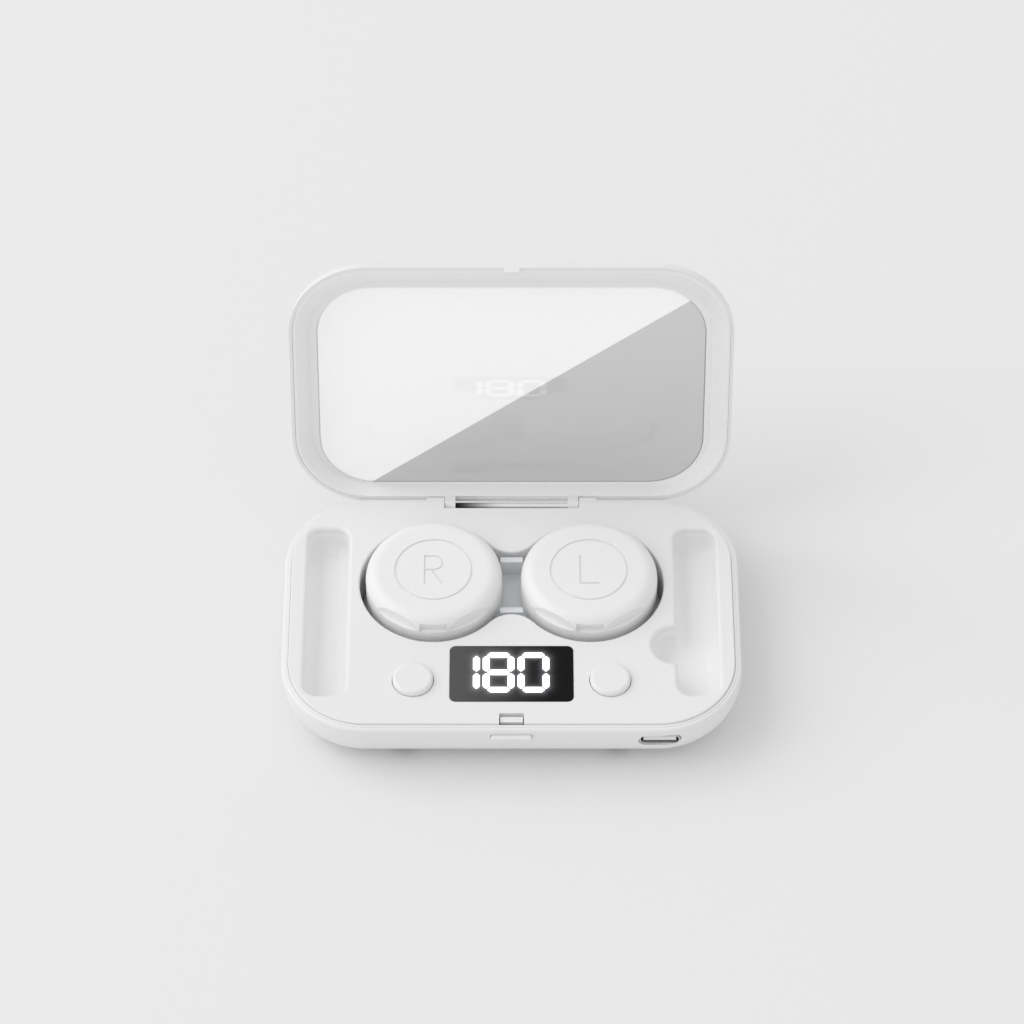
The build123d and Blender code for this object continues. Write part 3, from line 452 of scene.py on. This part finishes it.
def ribbed_rubber():
    """Moulded silicone with a fine rib pattern that keeps the base from sliding."""
    material, tree, output, place = new_material("ribbed moulded silicone")
    ribs = add_node(tree, "ShaderNodeTexWave", {"bands_direction": "DIAGONAL"}, {
        "Vector": place, "Scale": 1 / (5.0 * MM), "Distortion": 0.0})
    grain = noise(tree, place, 0.3)
    surface(tree, output, {
        "Base Color": linear("#CFCFD1"), "Roughness": between(tree, grain, 0.6, 0.8), "IOR": 1.41,
        "Normal": relief(tree, ribs.outputs["Fac"], 0.6, 0.15)})
    return material


def set_material(material, *names):
    """Puts one material on carried-over parts, in place of the plain one."""
    for name in names:
        slots = NODES[name].data.materials
        slots.clear()
        slots.append(material)


class LENSCASE_OT_finishes(Operator):
    """Gives every carried-over part its material"""
    bl_idname = "lenscase.finishes"
    bl_label = "Finishes"

    def execute(self, context):
        colours = context.scene.lens_case_colours
        abs_white = moulded_plastic("moulded white ABS", colours.shell, 0.42)
        cap_white = moulded_plastic("moulded white polypropylene", colours.caps, 0.4, ior=1.49)
        case_white = moulded_plastic("moulded translucent polypropylene", linear("#E6E8EA"), 0.35,
                                     ior=1.49, subsurface=0.3)
        inner_white = moulded_plastic("polished white ABS", linear("#F9F9F9"), 0.3)
        set_material(abs_white, "base_shell", "deck_panel", "lid_shell", "latch_button",
                     "button_left", "button_right", "spring_wall")
        set_material(inner_white, "tray_left", "tray_right", "bath_tub", "lid_liner")
        set_material(cap_white, "cap_r", "cap_l")
        set_material(case_white, "lens_case_body")
        set_material(pin_with_painted_shade(), "hinge_pin")
        set_material(worked_metal("deep drawn stainless steel", "#D6D7D8", 0.22), "usb_port")
        set_material(moulded_plastic("moulded white liquid crystal polymer", linear("#ECECEC"), 0.4),
                     "usb_tongue")
        set_material(worked_metal("brushed stainless sheet", "#C4C5C6", 0.3, (0.04, 1, 1)),
                     "vibration_plate")
        set_material(moulded_plastic("fired lead zirconate ceramic", linear("#C9BFA6"), 0.55),
                     "piezo_right_eye", "piezo_left_eye")
        set_material(moulded_plastic("moulded black ABS", linear("#141415"), 0.45),
                     "display_module", "switch_left", "switch_right", "board_chips")
        set_material(moulded_plastic("moulded silicone rubber", linear("#D2D2D3"), 0.65, ior=1.41),
                     "dome_left", "dome_right", "seal_r", "seal_l")
        set_material(ribbed_rubber(), "base_pad")
        set_material(moulded_plastic("solder masked glass epoxy", linear("#0F4A2A"), 0.3),
                     "main_board")
        set_material(worked_metal("laminated aluminium foil pouch", "#B9BBBE", 0.35), "battery")
        set_material(moulded_plastic("die cut polyurethane foam", linear("#2A2A2B"), 0.95,
                                     grain_mm=0.5, depth_mm=0.05), "battery_foam")
        set_material(moulded_plastic("acrylic foam tape", linear("#E8E8E4"), 0.8), "mirror_tape")
        set_material(worked_metal("drawn spring steel wire", "#8E9093", 0.3), "latch_spring")
        set_material(worked_metal("zinc plated steel", "#B7B8BA", 0.3), "base_screws")
        set_material(glass_with_painted_reflection(), "mirror")
        return {"FINISHED"}


# ---------------------------------------------------------------------------------------------
# Stage
# ---------------------------------------------------------------------------------------------
def softbox(name, place, size, watts):
    """Square area light that faces the case."""
    data = bpy.data.lights.new(name, "AREA")
    data.size = size
    data.energy = watts
    lamp = bpy.data.objects.new(name, data)
    lamp.location = place
    lamp.rotation_euler = (-Vector(place)).to_track_quat("-Z", "Y").to_euler()
    bpy.context.scene.collection.objects.link(lamp)


def painted_board(colour):
    """Matt painted studio board."""
    material, tree, output, place = new_material("matt painted board")
    grain = noise(tree, place, 2.5)
    surface(tree, output, {
        "Base Color": colour, "Roughness": between(tree, grain, 0.88, 0.96),
        "Specular IOR Level": 0.1})
    return material


class LENSCASE_OT_stage(Operator):
    """Sets the pale floor, the soft lights and the camera"""
    bl_idname = "lenscase.stage"
    bl_label = "Stage"

    def execute(self, context):
        scene = context.scene
        scene.view_settings.view_transform = "Standard"
        bm = bmesh.new()
        corners = [bm.verts.new((x * FLOOR_HALF, y * FLOOR_HALF, 0))
                   for x, y in ((-1, -1), (1, -1), (1, 1), (-1, 1))]
        bm.faces.new(corners)
        mesh = bpy.data.meshes.new("studio_floor")
        bm.to_mesh(mesh)
        bm.free()
        mesh.materials.append(painted_board(scene.lens_case_colours.floor))
        floor = bpy.data.objects.new("studio_floor", mesh)
        scene.collection.objects.link(floor)

        world = bpy.data.worlds.new("soft_studio")
        scene.world = world
        world.use_nodes = True
        sky = world.node_tree.nodes["Background"]
        sky.inputs["Color"].default_value = linear("#FFFFFF")
        sky.inputs["Strength"].default_value = SKY_STRENGTH
        softbox("key_softbox", KEY_PLACE, KEY_SIZE, KEY_WATTS)

        elevation = scene.lens_case_stage.elevation
        ahead = Vector((0, math.cos(elevation), -math.sin(elevation)))
        target = Vector((AIM_X_MM * MM, AIM_Y_MM * MM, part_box("deck_panel")[1].z))
        data = bpy.data.cameras.new("camera")
        data.sensor_width = SENSOR_WIDTH
        data.lens = LENS_LENGTH
        data.clip_start = 0.01
        camera = bpy.data.objects.new("camera", data)
        camera.location = target - ahead * scene.lens_case_stage.distance
        camera.rotation_euler = ahead.to_track_quat("-Z", "Y").to_euler()
        scene.collection.objects.link(camera)
        scene.camera = camera
        return {"FINISHED"}


# ---------------------------------------------------------------------------------------------
# Add-on
# ---------------------------------------------------------------------------------------------
class LENSCASE_PT_panel(Panel):
    """Lists the parts that can be made again"""
    bl_idname = "LENSCASE_PT_panel"
    bl_label = "Lens Case"
    bl_space_type = "VIEW_3D"
    bl_region_type = "UI"
    bl_category = "Lens Case"

    def draw(self, context):
        scene = context.scene
        for group in (scene.lens_case_colours, scene.lens_case_display, scene.lens_case_stage):
            box = self.layout.box()
            for name in group.__annotations__:
                box.prop(group, name)
        for operator in OPERATORS:
            self.layout.operator(operator.bl_idname)


OPERATORS = (LENSCASE_OT_display, LENSCASE_OT_finishes, LENSCASE_OT_stage)
GROUPS = {"lens_case_colours": LensCaseColours, "lens_case_display": LensCaseDisplay,
          "lens_case_stage": LensCaseStage}
CLASSES = tuple(GROUPS.values()) + OPERATORS + (LENSCASE_PT_panel,)


def register():
    for cls in CLASSES:
        bpy.utils.register_class(cls)
    for name, group in GROUPS.items():
        setattr(bpy.types.Scene, name, PointerProperty(type=group))


def unregister():
    for name in GROUPS:
        delattr(bpy.types.Scene, name)
    for cls in reversed(CLASSES):
        bpy.utils.unregister_class(cls)


def main():
    register()
    bpy.ops.lenscase.display()
    bpy.ops.lenscase.finishes()
    bpy.ops.lenscase.stage()


if __name__ == "__main__":
    main()
